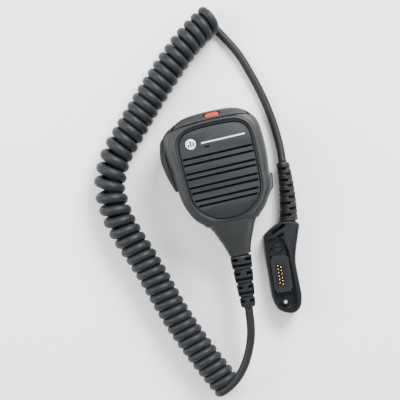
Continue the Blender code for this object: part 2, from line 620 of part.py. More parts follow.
def make_plug():
    frame = add_empty("plug_frame", PLUG_AT, turn=PLUG_TURN)
    outline = [tuple(point) for point in reversed(PLUG_OUTLINE)]
    slim = inset(outline, 1.0)
    housing = loft("plug_housing", [at_height(outline, PLUG_SPLIT), at_height(outline, 11.6),
                                    at_height(slim, PLUG_TOP)], PLUG_PLASTIC, parent=frame)
    cover = loft("plug_cover", [at_height(inset(outline, 1.6), 0.0), at_height(outline, 1.8),
                                at_height(outline, PLUG_SPLIT - GAP)], PLUG_PLASTIC, parent=frame)
    here = {"parent": frame, "cutter": True}

    x, y = THUMBSCREW_AT
    knob_way = cylinder("knob_way", (x, y, 0), 5.0, -2, 4.2, sides=24, **here)
    shaft_way = cylinder("shaft_way", (x, y, 0), 1.6, -2, 20, sides=16, **here)
    pocket = box("screw_pocket", (x - 4.6, y - 4.2, 8.6), (x + 5.6, y + 5.2, 20), **here)
    cavity = box("board_cavity", (-4.6, -8.0, 1.8), (7.6, 21.0, 8.0), **here)
    cut(cover, knob_way, shaft_way, cavity)
    x0, x1 = BLOCK_X
    y0, y1 = BLOCK_Y
    block_way = box("block_way", (x0 - GAP, y0 - GAP, 4), (x1 + GAP, y1 + GAP, 20), **here)
    recess = box("face_recess", (-4.8, -10.4, 11.2), (7.4, 21.5, 20), **here)
    antenna_way = cylinder("antenna_way", (*ANTENNA_AT, 0), 3.5, 4, 20, sides=24, **here)
    arm_pocket = box("arm_pocket", (0.4, 22.8, 9.5), (3.4, 27.4, 20), **here)
    cut(housing, cavity, pocket, shaft_way, recess, block_way, antenna_way, arm_pocket)

    block = loft("contact_block", [[(x0, y0, z), (x1, y0, z), (x1, y1, z), (x0, y1, z)]
                                   for z in (6.2, 12.3)], CONTACT_PLASTIC, parent=frame)
    number = 0
    for x, top in PIN_COLUMNS:
        for row in range(6):
            number += 1
            y = top - row * CONTACT_PITCH
            way = cylinder(f"contact_way_{number}", (x, y, 0), 0.72, 8.2, 20, sides=10, **here)
            cut(block, way)
            turned(f"contact_pin_{number:02d}",
                   [(0, 13.2), (0.3, 13.1), (0.45, 12.8), (0.45, 9.4), (0, 9.4)], GOLD,
                   centre=(x, y, 0), sides=10, parent=frame)

    turned("antenna_contact", [(0, 10.6), (1.0, 10.6), (1.0, 9.6), (2.3, 9.6), (2.3, 11.4),
                               (3.2, 11.4), (3.2, 6.6), (0, 6.6)], CONTACT_PLASTIC,
           centre=(*ANTENNA_AT, 0), parent=frame)
    box("plug_board", (-4.2, -7.6, 3.2), (7.2, 20.6, 4.4), BOARD_GREEN, parent=frame)

    place = {"centre": (*THUMBSCREW_AT, 0), "parent": frame}
    turned("thumbscrew", [(0, 12.6), (0.8, 12.6), (1.25, 12.0), (1.25, 3.9), (4.5, 3.9),
                          (4.5, 0.6), (4.1, 0.2), (0, 0.2)], STEEL, **place)
    turned("thumbscrew_ring", [(2.7, 9.7), (2.7, 8.9), (1.55, 8.9), (1.55, 9.7)],
           CONTACT_PLASTIC, closed=True, **place)


clear_scene()
PARTS = bpy.data.collections.new("hand_microphone")
CUTTERS = bpy.data.collections.new("cutters")
bpy.context.scene.collection.children.link(PARTS)
bpy.context.scene.collection.children.link(CUTTERS)

DARK_SHELL = material("dark_shell", (0.060, 0.066, 0.070), 0.55)
PANEL_PLASTIC = material("panel_plastic", (0.052, 0.060, 0.066), 0.5)
PLUG_PLASTIC = material("plug_plastic", (0.042, 0.048, 0.055), 0.5)
CONTACT_PLASTIC = material("contact_plastic", (0.025, 0.028, 0.032), 0.45)
KEY_RUBBER = material("key_rubber", (0.040, 0.044, 0.046), 0.7)
CORD_RUBBER = material("cord_rubber", (0.048, 0.054, 0.060), 0.6)
SEAL_RUBBER = material("seal_rubber", (0.02, 0.02, 0.02), 0.8)
ORANGE = material("orange", (0.86, 0.13, 0.03), 0.4)
BADGE_WHITE = material("badge_white", (0.75, 0.77, 0.78), 0.4)
FABRIC = material("acoustic_fabric", (0.008, 0.008, 0.009), 0.95)
CONE_PAPER = material("cone_paper", (0.02, 0.02, 0.02), 0.9)
STEEL = material("steel", (0.62, 0.62, 0.62), 0.3, 1.0)
ALUMINIUM = material("aluminium", (0.7, 0.7, 0.7), 0.35, 1.0)
BRASS = material("brass", (0.7, 0.55, 0.25), 0.3, 1.0)
GOLD = material("gold", (0.9, 0.62, 0.2), 0.25, 1.0)
BOARD_GREEN = material("board_green", (0.02, 0.16, 0.07), 0.5)
CHIP_BLACK = material("chip_black", (0.02, 0.02, 0.02), 0.5)
NYLON_WHITE = material("nylon_white", (0.8, 0.78, 0.7), 0.5)

body_outline, panel_outline, jack_frame, emergency_frame = make_handset_shells()
make_grille(panel_outline)
make_speaker()
make_electronics(body_outline, jack_frame, emergency_frame)
make_controls(jack_frame, emergency_frame)
make_clip()
make_cord()
make_plug()
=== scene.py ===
"""Looks of the hand microphone: shells, controls, cord, plug, clip, materials, light and camera.

Lengths are in millimetres and are scaled to metres as each piece is made.
"""

import json
import math

import bmesh
import bpy
from mathutils import Euler, Matrix, Vector


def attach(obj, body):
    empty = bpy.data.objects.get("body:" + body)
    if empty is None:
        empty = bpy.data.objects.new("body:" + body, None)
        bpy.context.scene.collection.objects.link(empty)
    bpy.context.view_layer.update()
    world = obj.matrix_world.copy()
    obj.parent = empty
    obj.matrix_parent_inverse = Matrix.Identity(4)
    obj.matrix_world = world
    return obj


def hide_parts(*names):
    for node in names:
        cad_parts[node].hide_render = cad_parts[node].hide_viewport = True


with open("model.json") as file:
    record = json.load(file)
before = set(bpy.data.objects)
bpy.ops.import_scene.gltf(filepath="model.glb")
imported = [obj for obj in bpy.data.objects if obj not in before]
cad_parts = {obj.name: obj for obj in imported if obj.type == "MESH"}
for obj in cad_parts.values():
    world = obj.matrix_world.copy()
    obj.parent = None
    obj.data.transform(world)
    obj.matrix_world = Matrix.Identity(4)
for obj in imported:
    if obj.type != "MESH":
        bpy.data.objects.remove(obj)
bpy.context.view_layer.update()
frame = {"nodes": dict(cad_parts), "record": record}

MM = 0.001

# Driving sizes, as the CAD has them
BACK_Z = 9.0
SEAM_TOP = 21.35
SEAM_BOTTOM = 20.65
PANEL_Z = 32.2
WALL = 2.2
KEY_SEAT_X = -25.7
KEY_Z = 21.0
KEY_HALF_HEIGHT = 7.0
BADGE_AT = (-13.6, 14.4)
CORD_DIAMETER = 4.8
COIL_DIAMETER = 17.4
BODY_HALF = [(0, 31.0), (10, 30.6), (16.5, 29.3), (21.6, 26.4), (25.1, 22.4), (27.1, 17.6),
             (27.8, 8), (27.7, 0), (26.6, -10), (25.0, -19), (21.5, -26.9), (17.2, -31.6),
             (12.8, -34.5), (0, -34.5)]
PANEL_HALF = [(0, 22.4), (9, 22.1), (14.5, 21.2), (18.3, 19.0), (20.2, 16.0), (20.9, 12.0),
              (21.0, 5), (20.9, -2), (20.5, -10), (19.7, -17.8), (16.9, -23.6), (12.9, -27.3),
              (8.2, -30.0), (0, -31.3)]
SLOTS = [(6.5, 20.35), (3.1, 20.35), (-2.0, 20.2), (-5.1, 20.1), (-10.0, 19.8), (-13.3, 19.4),
         (-17.8, 18.5), (-21.0, 17.3)]
KEY_OUTER = [(21.0, -29.2), (18.5, -30.9), (9.9, -32.5), (1.1, -31.4), (-6.0, -29.4),
             (-10.0, -28.0)]
NECK = [(-34.8, 13.4, 11.4, 21.0), (-38.0, 11.6, 10.6, 20.5), (-41.5, 10.2, 9.8, 20.0),
        (-45.5, 8.5, 8.6, 19.2), (-49.5, 7.1, 7.4, 18.5), (-53.0, 6.3, 6.6, 18.0)]
RELIEF_START = (0.0, -53.8, 18.0)
RELIEF_END = (-2.1, -83.2, 17.2)
RELIEF_RADII = (6.3, 4.15)
TAIL_ROUTE = [(-2.1, -83.6, 17.2), (-3.4, -96.9, 16.0), (-4.8, -101.8, 15.4),
              (-7.5, -108.6, 14.8), (-10.4, -114.2, 14.6), (-14.2, -119.4, 14.6),
              (-18.0, -123.3, 14.8)]
COIL_ROUTE = [(13.2, 83.4), (-4.4, 71.5), (-24.8, 52.6), (-44.8, 31.9), (-57.5, 17.7),
              (-64.4, 3.3), (-65.1, -4.2), (-63.8, -17.9), (-60.5, -29.6), (-56.6, -39.8),
              (-51.5, -55.1), (-44.2, -79.1), (-35.3, -101.9), (-25.2, -123.7), (-23.7, -127.0)]
LEAD_ROUTE = [(16.0, 77.4, 2.6), (20.2, 70.6, 2.5), (24.0, 64.1, 2.5), (27.1, 56.9, 2.5),
              (29.4, 49.0, 2.5), (32.1, 40.1, 2.5), (35.2, 25.3, 2.6), (36.5, 13.7, 3.2),
              (36.9, 2.3, 4.8), (36.2, -6.2, 6.2)]
COIL_LIFT = 0.75
END_LEAN = 3.6
LEAN_SHARE = 0.16
TURN_POINTS = 24
CLIP_HINGE = (12.0, 4.4)
PLUG_AT = (20.0, -70.1, 0.0)
PLUG_TURN = -4.55
PLUG_SPLIT = 5.6
PLUG_OUTLINE = [(-5.5, 24.6), (-6.7, 20.9), (-7.1, 12.0), (-6.8, 0.8), (-6.7, -9.2),
                (-6.2, -13.7), (-4.2, -19.0), (-0.7, -21.7), (3.5, -22.9), (7.0, -21.9),
                (9.5, -18.9), (10.6, -13.8), (10.6, -8.8), (10.2, -1.6), (10.1, 6.8),
                (11.7, 14.8), (13.8, 22.2), (14.6, 28.6), (4.5, 30.4)]
PLUG_RELIEF_START = (36.1, -6.9, 6.4)
PLUG_RELIEF_END = (31.95, -40.5, 6.6)
PLUG_RELIEF_RADII = (3.7, 5.5)
SCREW_AT = (0.8, -16.0)
ANTENNA_AT = (0.9, 16.0)
PIN_PITCH = 2.0


# Curves and outlines

def smooth_points(points, steps, closed=False):
    """Points of a Catmull-Rom curve through the given ones, with steps to each span."""
    found = []
    count = len(points)
    for i in range(count if closed else count - 1):
        near = []
        for k in (i - 1, i, i + 1, i + 2):
            near.append(Vector(points[k % count if closed else min(max(k, 0), count - 1)]))
        a, b, c, d = near
        for step in range(steps):
            t = step / steps
            found.append(0.5 * (2 * b + (c - a) * t + (2 * a - 5 * b + 4 * c - d) * t * t
                                + (3 * b - a - 3 * c + d) * t * t * t))
    if not closed:
        found.append(Vector(points[-1]))
    return found


def graded(stops, at):
    """The value at a place, in straight lines between (place, value) stops."""
    for (low, first), (high, second) in zip(stops, stops[1:]):
        if at <= high:
            return first + (second - first) * max(at - low, 0.0) / (high - low)
    return stops[-1][1]


def distances(points):
    """The distance run from the first point to each of them."""
    run = [0.0]
    for a, b in zip(points, points[1:]):
        run.append(run[-1] + (b - a).length)
    return run


def mirrored(half, steps=6):
    """A smooth closed outline from its right half, which starts and ends on the middle line."""
    left = [(-x, y) for x, y in reversed(half[1:-1])]
    return smooth_points(half + left, steps, closed=True)


def inset(outline, distance):
    """A clockwise outline moved inwards."""
    shifted = []
    count = len(outline)
    for i, point in enumerate(outline):
        heading = (Vector(outline[(i + 1) % count]) - Vector(outline[i - 1])).normalized()
        shifted.append(Vector((point[0] + heading.y * distance, point[1] - heading.x * distance)))
    return shifted


def blend(first, second, share):
    return [a.lerp(b, share) for a, b in zip(first, second)]


def raised(outline, z):
    return [(point[0], point[1], z) for point in outline]


def superellipse(half_x, half_y, power=2.6, sides=64):
    """A squarish oval: round at power 2, and nearer to a rectangle above it."""
    points = []
    for i in range(sides):
        angle = 2 * math.pi * i / sides
        c, s = math.cos(angle), math.sin(angle)
        points.append(Vector((half_x * math.copysign(abs(c) ** (2 / power), c),
                              half_y * math.copysign(abs(s) ** (2 / power), s))))
    return points


def oblong(length, width, arc_steps=10):
    """A bar's outline with half-round ends."""
    radius = width / 2
    reach = length / 2 - radius
    points = []
    for side in (1, -1):
        for step in range(arc_steps + 1):
            angle = math.pi * (step / arc_steps - 0.5)
            points.append(Vector((side * (reach + radius * math.cos(angle)),
                                  side * radius * math.sin(angle))))
    return points


def circle(radius, sides):
    return [Vector((radius * math.cos(2 * math.pi * i / sides),
                    radius * math.sin(2 * math.pi * i / sides))) for i in range(sides)]


# Meshes

def add_ring(bm, points):
    verts = [bm.verts.new(Vector(point) * MM) for point in points]
    return [bm.edges.new((verts[i - 1], verts[i])) for i in range(len(verts))]


def skin(rings, closed=False):
    """A bmesh skin through rings of points: bridged one to the next, and capped unless closed."""
    bm = bmesh.new()
    loops = [add_ring(bm, ring) for ring in rings]
    pairs = list(zip(loops, loops[1:]))
    if closed:
        pairs.append((loops[-1], loops[0]))
    for lower, upper in pairs:
        bmesh.ops.bridge_loops(bm, edges=lower + upper)
    if not closed:
        bmesh.ops.contextual_create(bm, geom=loops[0])
        bmesh.ops.contextual_create(bm, geom=loops[-1])
    return bm


def spun(profile, steps=48):
    """A bmesh of a profile of (radius, height) points turned once round Z."""
    bm = bmesh.new()
    verts = [bm.verts.new((radius * MM, 0, height * MM)) for radius, height in profile]
    edges = [bm.edges.new(pair) for pair in zip(verts, verts[1:])]
    bmesh.ops.spin(bm, geom=verts + edges, cent=(0, 0, 0), axis=(0, 0, 1), dvec=(0, 0, 0),
                   angle=2 * math.pi, steps=steps, use_merge=True)
    bmesh.ops.remove_doubles(bm, verts=bm.verts, dist=0.000002)
    return bm


def block(low, high, rounding=0.0, segments=3):
    """A bmesh of a box between two corners, with rounded edges if asked."""
    bm = bmesh.new()
    bmesh.ops.create_cube(bm, size=1.0)
    size = Vector(high) - Vector(low)
    bmesh.ops.scale(bm, vec=size * MM, verts=bm.verts)
    bmesh.ops.translate(bm, vec=(Vector(high) + Vector(low)) / 2 * MM, verts=bm.verts)
    if rounding:
        bmesh.ops.bevel(bm, geom=bm.edges[:], offset=rounding * MM, offset_type="OFFSET",
                        affect="EDGES", segments=segments, profile=0.5, material=-1)
    return bm


def rod(start, end, radius, sides=32):
    """A bmesh of a round bar between two points."""
    start, end = Vector(start), Vector(end)
    bm = bmesh.new()
    bmesh.ops.create_cone(bm, cap_ends=True, segments=sides, radius1=radius * MM,
                          radius2=radius * MM, depth=(end - start).length * MM)
    turn = (end - start).to_track_quat("Z", "Y").to_matrix().to_4x4()
    bm.transform(Matrix.Translation((start + end) / 2 * MM) @ turn)
    return bm


def place(bm, matrix):
    bm.transform(matrix)
    return bm


def moved(x, y, z, turn=0.0, tilt=0.0):
    """A matrix for a frame at a place in millimetres, tilted about X and turned about Z."""
    return Matrix.Translation(Vector((x, y, z)) * MM) @ Euler(
        (math.radians(tilt), 0, math.radians(turn))).to_matrix().to_4x4()


def along(start, end):
    """A matrix at the start whose Z runs to the end, and whose X stays level."""
    start, end = Vector(start), Vector(end)
    forward = (end - start).normalized()
    side = Vector((0, 0, 1)).cross(forward).normalized()
    up = forward.cross(side)
    basis = Matrix((side, up, forward)).transposed().to_4x4()
    return Matrix.Translation(start * MM) @ basis


def as_object(name, bm):
    """An object made from a bmesh, with its faces turned outwards."""
    bmesh.ops.recalc_face_normals(bm, faces=bm.faces[:])
    if bm.calc_volume(signed=True) < 0:
        bmesh.ops.reverse_faces(bm, faces=bm.faces[:])
    mesh = bpy.data.meshes.new(name)
    bm.to_mesh(mesh)
    bm.free()
    made = bpy.data.objects.new(name, mesh)
    bpy.context.scene.collection.objects.link(made)
    return made


def settle(item):
    """Applies an object's modifiers."""
    graph = bpy.context.evaluated_depsgraph_get()
    mesh = bpy.data.meshes.new_from_object(item.evaluated_get(graph))
    item.modifiers.clear()
    old = item.data
    item.data = mesh
    bpy.data.meshes.remove(old)


def carve(item, cutters, operation="DIFFERENCE"):
    """Cuts, joins or meets an object with bmesh shapes, which may overlap each other."""
    helpers = [as_object("helper", bm) for bm in cutters]
    together = bmesh.new()
    for helper in helpers:
        together.from_mesh(helper.data)
        bpy.data.objects.remove(helper, do_unlink=True)
    mesh = bpy.data.meshes.new("helper")
    together.to_mesh(mesh)
    together.free()
    helper = bpy.data.objects.new("helper", mesh)
    bpy.context.scene.collection.objects.link(helper)
    boolean = item.modifiers.new("carve", "BOOLEAN")
    boolean.object = helper
    boolean.operation = operation
    boolean.solver = "EXACT"
    boolean.use_self = len(cutters) > 1
    settle(item)
    bpy.data.objects.remove(helper, do_unlink=True)


def soften(item, width, segments=2, angle=35):
    """Rounds the sharp edges left by carving."""
    bm = bmesh.new()
    bm.from_mesh(item.data)
    bmesh.ops.remove_doubles(bm, verts=bm.verts, dist=0.000004)
    bmesh.ops.dissolve_degenerate(bm, edges=bm.edges[:], dist=0.000004)
    bm.to_mesh(item.data)
    bm.free()
    bevel = item.modifiers.new("soften", "BEVEL")
    bevel.width = width * MM
    bevel.segments = segments
    bevel.limit_method = "ANGLE"
    bevel.angle_limit = math.radians(angle)
    bevel.use_clamp_overlap = True
    settle(item)


def fit_out(item, body, slot, *nodes, sharp=40):
    """Finishes a piece: shading, material, the body it rides on and the nodes it stands for."""
    item.data.shade_smooth()
    item.data.set_sharp_from_angle(angle=math.radians(sharp))
    item.data.materials.clear()
    item.data.materials.append(LOOKS[slot])
    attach(item, body)
    if nodes:
        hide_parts(*nodes)
    return item


# Materials

def new_group(name, inputs, outputs):
    group = bpy.data.node_groups.new(name, "ShaderNodeTree")
    for label, kind, value in inputs:
        socket = group.interface.new_socket(label, in_out="INPUT", socket_type=kind)
        if value is not None:
            socket.default_value = value
    for label, kind in outputs:
        group.interface.new_socket(label, in_out="OUTPUT", socket_type=kind)
    start = group.nodes.new("NodeGroupInput")
    end = group.nodes.new("NodeGroupOutput")
    return group, start, end


def feed(tree, socket, value):
    """Gives a socket a number, a colour, or a link from another socket."""
    if isinstance(value, (int, float)):
        socket.default_value = value
    elif isinstance(value, tuple):
        socket.default_value = (*value, 1.0)
    else:
        tree.links.new(value, socket)


def math_node(tree, operation, first, second):
    node = tree.nodes.new("ShaderNodeMath")
    node.operation = operation
    for socket, value in zip(node.inputs, (first, second)):
        feed(tree, socket, value)
    return node.outputs[0]


def noise_node(tree, vector, scale, detail=3.0, roughness=0.55):
    node = tree.nodes.new("ShaderNodeTexNoise")
    node.inputs["Detail"].default_value = detail
    node.inputs["Roughness"].default_value = roughness
    tree.links.new(vector, node.inputs["Vector"])
    feed(tree, node.inputs["Scale"], scale)
    return node.outputs["Fac"]


def make_grain_group():
    """Spark-eroded mould grain, large mottling, and light dust specks."""
    group, start, end = new_group(
        "moulded_grain",
        [("Vector", "NodeSocketVector", None), ("Grain Scale", "NodeSocketFloat", 4200.0),
         ("Mottle Scale", "NodeSocketFloat", 90.0)],
        [("Height", "NodeSocketFloat"), ("Mottle", "NodeSocketFloat"),
         ("Dust", "NodeSocketFloat")])
    vector = start.outputs["Vector"]
    fine = noise_node(group, vector, start.outputs["Grain Scale"], 2.0)
    coarse = noise_node(group, vector, math_node(group, "MULTIPLY", start.outputs["Grain Scale"],
                                                 0.35), 2.0)
    height = math_node(group, "ADD", fine, math_node(group, "MULTIPLY", coarse, 0.8))
    group.links.new(height, end.inputs["Height"])
    mottle = noise_node(group, vector, start.outputs["Mottle Scale"], 5.0, 0.65)
    group.links.new(mottle, end.inputs["Mottle"])
    specks = noise_node(group, vector, 2600.0, 1.0, 0.4)
    dust = group.nodes.new("ShaderNodeMapRange")
    dust.inputs["From Min"].default_value = 0.70
    dust.inputs["From Max"].default_value = 0.80
    group.links.new(specks, dust.inputs["Value"])
    group.links.new(dust.outputs["Result"], end.inputs["Dust"])
    return group


def make_wear_and_highlight_group():
    """A mask of convex edges, broken up by noise, where handling polishes the surface and where a
    painted highlight lightens the colour.
    """
    group, start, end = new_group(
        "worn_and_highlit_edges", [("Vector", "NodeSocketVector", None)], [("Mask", "NodeSocketFloat")])
    geometry = group.nodes.new("ShaderNodeNewGeometry")
    ramp = group.nodes.new("ShaderNodeMapRange")
    ramp.inputs["From Min"].default_value = 0.52
    ramp.inputs["From Max"].default_value = 0.62
    group.links.new(geometry.outputs["Pointiness"], ramp.inputs["Value"])
    broken = noise_node(group, start.outputs["Vector"], 700.0, 4.0, 0.7)
    mask = math_node(group, "MULTIPLY", ramp.outputs["Result"], broken)
    group.links.new(mask, end.inputs["Mask"])
    return group


def colour_mix(tree, factor, first, second):
    node = tree.nodes.new("ShaderNodeMix")
    node.data_type = "RGBA"
    for number, value in ((0, factor), (6, first), (7, second)):
        feed(tree, node.inputs[number], value)
    return node.outputs[2]


def new_material(name):
    made = bpy.data.materials.new(name)
    made.use_nodes = True
    tree = made.node_tree
    shader = tree.nodes["Principled BSDF"]
    coords = tree.nodes.new("ShaderNodeTexCoord").outputs["Object"]
    return made, tree, shader, coords


def add_group(tree, group, **values):
    node = tree.nodes.new("ShaderNodeGroup")
    node.node_tree = group
    for label, value in values.items():
        feed(tree, node.inputs[label.replace("_", " ").title()], value)
    return node


def add_bump(tree, shader, height, strength, distance):
    bump = tree.nodes.new("ShaderNodeBump")
    bump.inputs["Strength"].default_value = strength
    bump.inputs["Distance"].default_value = distance
    tree.links.new(height, bump.inputs["Height"])
    tree.links.new(bump.outputs["Normal"], shader.inputs["Normal"])


def moulded(name, dark, light, roughness, grain=4200.0, mottle=90.0, bump=0.25, dust=0.25,
            polish=0.12, specular=0.36):
    """A moulded plastic or rubber: mottled colour, mould grain, dust, and polished edges whose
    lighter colour is partly wear and partly a painted highlight.
    """
    made, tree, shader, coords = new_material(name)
    texture = add_group(tree, GRAIN, vector=coords, grain_scale=grain, mottle_scale=mottle)
    wear_and_highlight = add_group(tree, WEAR_AND_HIGHLIGHT, vector=coords)
    base = colour_mix(tree, texture.outputs["Mottle"], dark, light)
    dusty = tuple(min(1.0, channel * 2.4 + 0.03) for channel in light)
    dusted = colour_mix(tree, math_node(tree, "MULTIPLY", texture.outputs["Dust"], dust),
                        base, dusty)
    # Convex edges turn lighter: partly rubbed wear, partly a painted highlight standing in for
    # light caught along the edges.
    worn_and_highlight = tuple(min(1.0, channel * 1.5 + 0.01) for channel in light)
    colour = colour_mix(tree, wear_and_highlight.outputs["Mask"], dusted, worn_and_highlight)
    tree.links.new(colour, shader.inputs["Base Color"])
    varied = math_node(tree, "ADD", math_node(tree, "MULTIPLY", texture.outputs["Mottle"], 0.16),
                       roughness - 0.08)
    tree.links.new(math_node(tree, "SUBTRACT", varied,
                             math_node(tree, "MULTIPLY", wear_and_highlight.outputs["Mask"], polish)),
                   shader.inputs["Roughness"])
    shader.inputs["Specular IOR Level"].default_value = specular
    add_bump(tree, shader, texture.outputs["Height"], bump, 0.00006)
    return made


def metal(name, dark, light, roughness):
    """A drawn or turned metal, with fine lines round its height."""
    made, tree, shader, coords = new_material(name)
    mapping = tree.nodes.new("ShaderNodeMapping")
    mapping.inputs["Scale"].default_value = (1.0, 1.0, 14.0)
    tree.links.new(coords, mapping.inputs["Vector"])
    lines = noise_node(tree, mapping.outputs["Vector"], 900.0, 4.0, 0.6)
    tree.links.new(colour_mix(tree, lines, dark, light), shader.inputs["Base Color"])
    shader.inputs["Metallic"].default_value = 1.0
    tree.links.new(math_node(tree, "ADD", math_node(tree, "MULTIPLY", lines, 0.2),
                             roughness - 0.1), shader.inputs["Roughness"])
    add_bump(tree, shader, lines, 0.15, 0.00003)
    return made


def woven(name, dark, light):
    """A plain weave of fine threads, 0.45 mm apart."""
    made, tree, shader, coords = new_material(name)
    waves = []
    for direction in ("X", "Y"):
        wave = tree.nodes.new("ShaderNodeTexWave")
        wave.bands_direction = direction
        wave.inputs["Scale"].default_value = 0.314 / 0.00045
        wave.inputs["Distortion"].default_value = 0.4
        tree.links.new(coords, wave.inputs["Vector"])
        waves.append(wave.outputs["Fac"])
    height = math_node(tree, "MULTIPLY", waves[0], waves[1])
    tree.links.new(colour_mix(tree, height, dark, light), shader.inputs["Base Color"])
    shader.inputs["Roughness"].default_value = 0.95
    add_bump(tree, shader, height, 0.6, 0.0001)
    return made


def laminate(name, mask_colour, track_colour):
    """A circuit board: solder mask with a maze of tracks under it."""
    made, tree, shader, coords = new_material(name)
    brick = tree.nodes.new("ShaderNodeTexBrick")
    brick.inputs["Scale"].default_value = 420.0
    brick.inputs["Mortar Size"].default_value = 0.06
    brick.inputs["Color1"].default_value = (0, 0, 0, 1)
    brick.inputs["Color2"].default_value = (0.15, 0.15, 0.15, 1)
    brick.inputs["Mortar"].default_value = (1, 1, 1, 1)
    tree.links.new(coords, brick.inputs["Vector"])
    tree.links.new(colour_mix(tree, brick.outputs["Fac"], mask_colour, track_colour),
                   shader.inputs["Base Color"])
    shader.inputs["Roughness"].default_value = 0.4
    add_bump(tree, shader, brick.outputs["Fac"], 0.3, 0.00004)
    return made


def printed(name, dark, light, ink):
    """The badge: a pale enamel whose engraved bars, below the panel's level, are filled dark."""
    made, tree, shader, coords = new_material(name)
    grain = add_group(tree, GRAIN, vector=coords, grain_scale=3000.0, mottle_scale=300.0)
    split = tree.nodes.new("ShaderNodeSeparateXYZ")
    tree.links.new(coords, split.inputs[0])
    engraved = math_node(tree, "LESS_THAN", split.outputs["Z"], (PANEL_Z - 0.04) * MM)
    enamel = colour_mix(tree, grain.outputs["Mottle"], dark, light)
    tree.links.new(colour_mix(tree, engraved, enamel, ink), shader.inputs["Base Color"])
    shader.inputs["Roughness"].default_value = 0.35
    add_bump(tree, shader, grain.outputs["Height"], 0.05, 0.00003)
    return made


GRAIN = make_grain_group()
WEAR_AND_HIGHLIGHT = make_wear_and_highlight_group()
LOOKS = {
    "dark_shell": moulded("dark_shell", (0.0074, 0.0088, 0.0096), (0.0120, 0.0140, 0.0150), 0.50),
    "panel_plastic": moulded("panel_plastic", (0.0050, 0.0063, 0.0076), (0.0082, 0.0102, 0.0120),
                             0.47, specular=0.30),
    "plug_plastic": moulded("plug_plastic", (0.0026, 0.0036, 0.0048), (0.0048, 0.0062, 0.0080),
                            0.44, specular=0.18),
    "contact_plastic": moulded("contact_plastic", (0.0030, 0.0038, 0.0050),
                               (0.0056, 0.0068, 0.0086), 0.42, dust=0.1, specular=0.2),
    "key_rubber": moulded("key_rubber", (0.0065, 0.0076, 0.0080), (0.0110, 0.0126, 0.0132), 0.62,
                          grain=3200.0, bump=0.35),
    "cord_rubber": moulded("cord_rubber", (0.0038, 0.0050, 0.0064), (0.0080, 0.0098, 0.0120), 0.54,
                           grain=1800.0, mottle=60.0, bump=0.3, dust=0.35, specular=0.24),
    "seal_rubber": moulded("seal_rubber", (0.003, 0.003, 0.003), (0.006, 0.006, 0.006), 0.8),
    "orange": moulded("orange", (0.30, 0.026, 0.0002), (0.40, 0.042, 0.0004), 0.50, bump=0.1,
                      dust=0.1, specular=0.2),
    "badge_white": printed("badge_white", (0.55, 0.58, 0.60), (0.70, 0.72, 0.74),
                           (0.010, 0.012, 0.015)),
    "fabric": woven("fabric", (0.0015, 0.0015, 0.0015), (0.005, 0.005, 0.006)),
    "cone_paper": moulded("cone_paper", (0.008, 0.008, 0.008), (0.020, 0.018, 0.016), 0.9,
                          grain=1500.0, bump=0.5),
    "steel": metal("steel", (0.42, 0.43, 0.44), (0.68, 0.68, 0.68), 0.32),
    "aluminium": metal("aluminium", (0.55, 0.56, 0.57), (0.8, 0.8, 0.81), 0.35),
    "brass": metal("brass", (0.50, 0.38, 0.16), (0.78, 0.62, 0.30), 0.3),
    "gold": metal("gold", (0.82, 0.52, 0.14), (1.0, 0.76, 0.32), 0.26),
    "board_green": laminate("board_green", (0.008, 0.10, 0.045), (0.03, 0.24, 0.10)),
    "chip_black": moulded("chip_black", (0.008, 0.008, 0.009), (0.016, 0.016, 0.017), 0.5),
    "nylon_white": moulded("nylon_white", (0.60, 0.58, 0.50), (0.72, 0.70, 0.62), 0.5),
}


# Handset shells

PANEL = mirrored(PANEL_HALF, 8)
SHOULDER = [(2.0, 0.0), (12.0, 1.6), (21.0, 2.9), (22.8, 2.7), (24.8, 2.0), (26.4, 0.8),
            (28.0, 0.0)]


def swelling(x, y):
    """How far the sides stand out: round the jack on the right, and over the key on the left."""
    if x > 0:
        return 1.25 * math.exp(-((y + 17.6) / 5.6) ** 4)
    return -graded(SHOULDER, y)


BODY = [Vector((point.x + swelling(point.x, point.y), point.y))
        for point in mirrored(BODY_HALF, 8)]
INNER = inset(BODY, WALL)
EMERGENCY = moved(1.7, 28.7, 30.3, tilt=-55.0)
JACK = moved(25.8, -15.5, 16.6, turn=-10)
JACK_HINGE = JACK @ moved(0.5, 4.9, 0)
BADGE = moved(*BADGE_AT, PANEL_Z)


def cap_area(low, high, shift):
    """The prism behind the seam between the front housing and the top cap."""
    half = [(0, 25.6), (8, 25.5), (16, 25.0), (20, 24.4), (23, 23.6), (40, 22.4)]
    points = [Vector((x, y + shift)) for x, y in half]
    left = [Vector((-x, y + shift)) for x, y in reversed(half[1:])]
    outline = [Vector((-40, 60))] + left + points + [Vector((40, 60))]
    return skin([raised(outline, low), raised(outline, high)])


def key_way():
    """The room behind the talk key."""
    return block((-35, -10.5, 13.5), (-22.0, 21.4, 28.4))


def emergency_outline(length, width):
    return [Vector((x, y - 0.45)) for x, y in oblong(length, width)]


def emergency_shape(length, width, low, high):
    """The room round the emergency button."""
    outline = emergency_outline(length, width)
    return place(skin([raised(outline, low), raised(outline, high)]), EMERGENCY)


def make_front():
    """The front housing: a band that rises from its side to a ridge round the panel."""
    crown = [(0.0, SEAM_TOP), (0.0, 25.8), (0.012, 27.2), (0.04, 28.5), (0.085, 29.7), (0.14, 30.6),
             (0.21, 31.3), (0.30, 31.85), (0.40, 32.2), (0.48, 32.35), (0.54, 32.5), (0.59, 32.9),
             (0.64, 33.5), (0.69, 34.0), (0.73, 34.17), (0.77, 34.18), (0.80, 34.0), (0.825, 33.6),
             (0.86, 33.2), (0.92, 32.9), (0.965, 32.65), (0.99, 32.3), (1.0, 31.6), (1.0, 29.6)]
    rings = [raised(blend(BODY, PANEL, share), z) for share, z in crown]
    ledge = inset(PANEL, 1.6)
    rings += [raised(ledge, 29.6), raised(ledge, 28.2), raised(INNER, 27.2),
              raised(INNER, SEAM_TOP)]
    front = as_object("front_shell", skin(rings, closed=True))
    carve(front, [cap_area(15, 45, 0.0), key_way()])
    carve(front, [emergency_shape(9.2, 5.0, -3.2, 6.0)])
    fit_out(front, "handset", "dark_shell", "front_housing")


